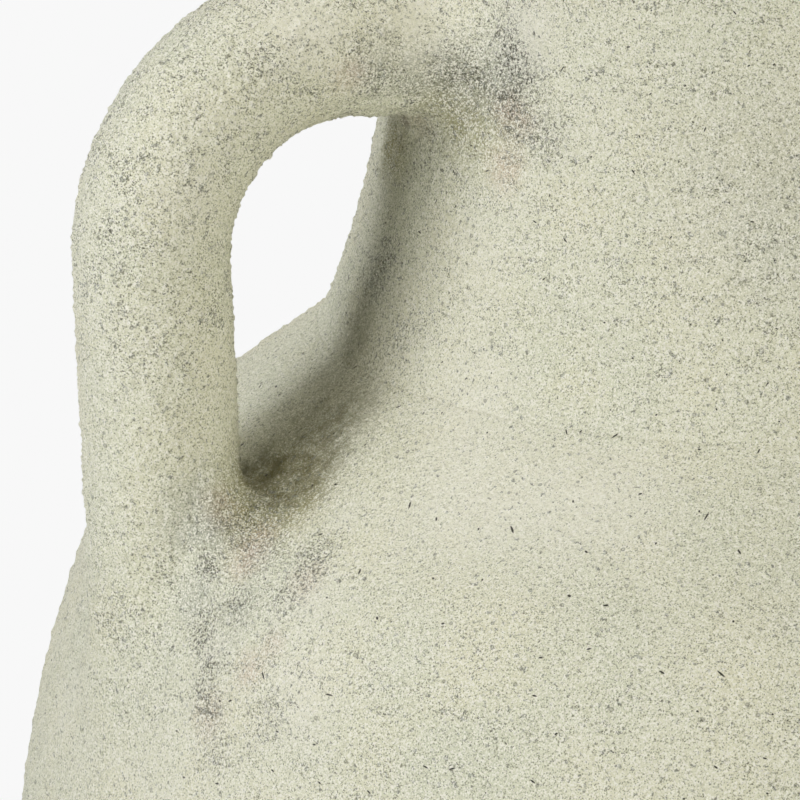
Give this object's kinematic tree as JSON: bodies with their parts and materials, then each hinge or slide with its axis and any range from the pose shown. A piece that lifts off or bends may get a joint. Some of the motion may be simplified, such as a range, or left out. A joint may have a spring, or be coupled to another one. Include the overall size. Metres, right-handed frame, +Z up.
{
  "type": "two-handled vase",
  "caption": "Tall round-bodied vase of coarse fired clay with a hollow waisted neck, a rolled rim and upright loop handles from neck to shoulder.",
  "frame": {"origin": "middle of the flat underside, level with the surface that the vase stands on", "axes": "+Z is up along the vase's axis, the two handles lie along -X and +X, and -Y is the front"},
  "size_m": [0.32, 0.32, 0.4064],
  "materials": {
    "body_clay": "matte, coarse, pale sandy wash",
    "handle_clay": "matte, coarse, pale sandy wash",
    "luting_clay": "matte, pitted, stained wash"
  },
  "bodies": {
    "root": {"foot": "body_clay", "lower_body": "body_clay", "shoulder": "body_clay", "neck": "body_clay", "rim": "body_clay", "handle_left": "handle_clay", "handle_right": "handle_clay", "upper_luting_left": "luting_clay", "upper_luting_right": "luting_clay", "lower_luting_left": "luting_clay", "lower_luting_right": "luting_clay"}
  },
  "joints": []
}
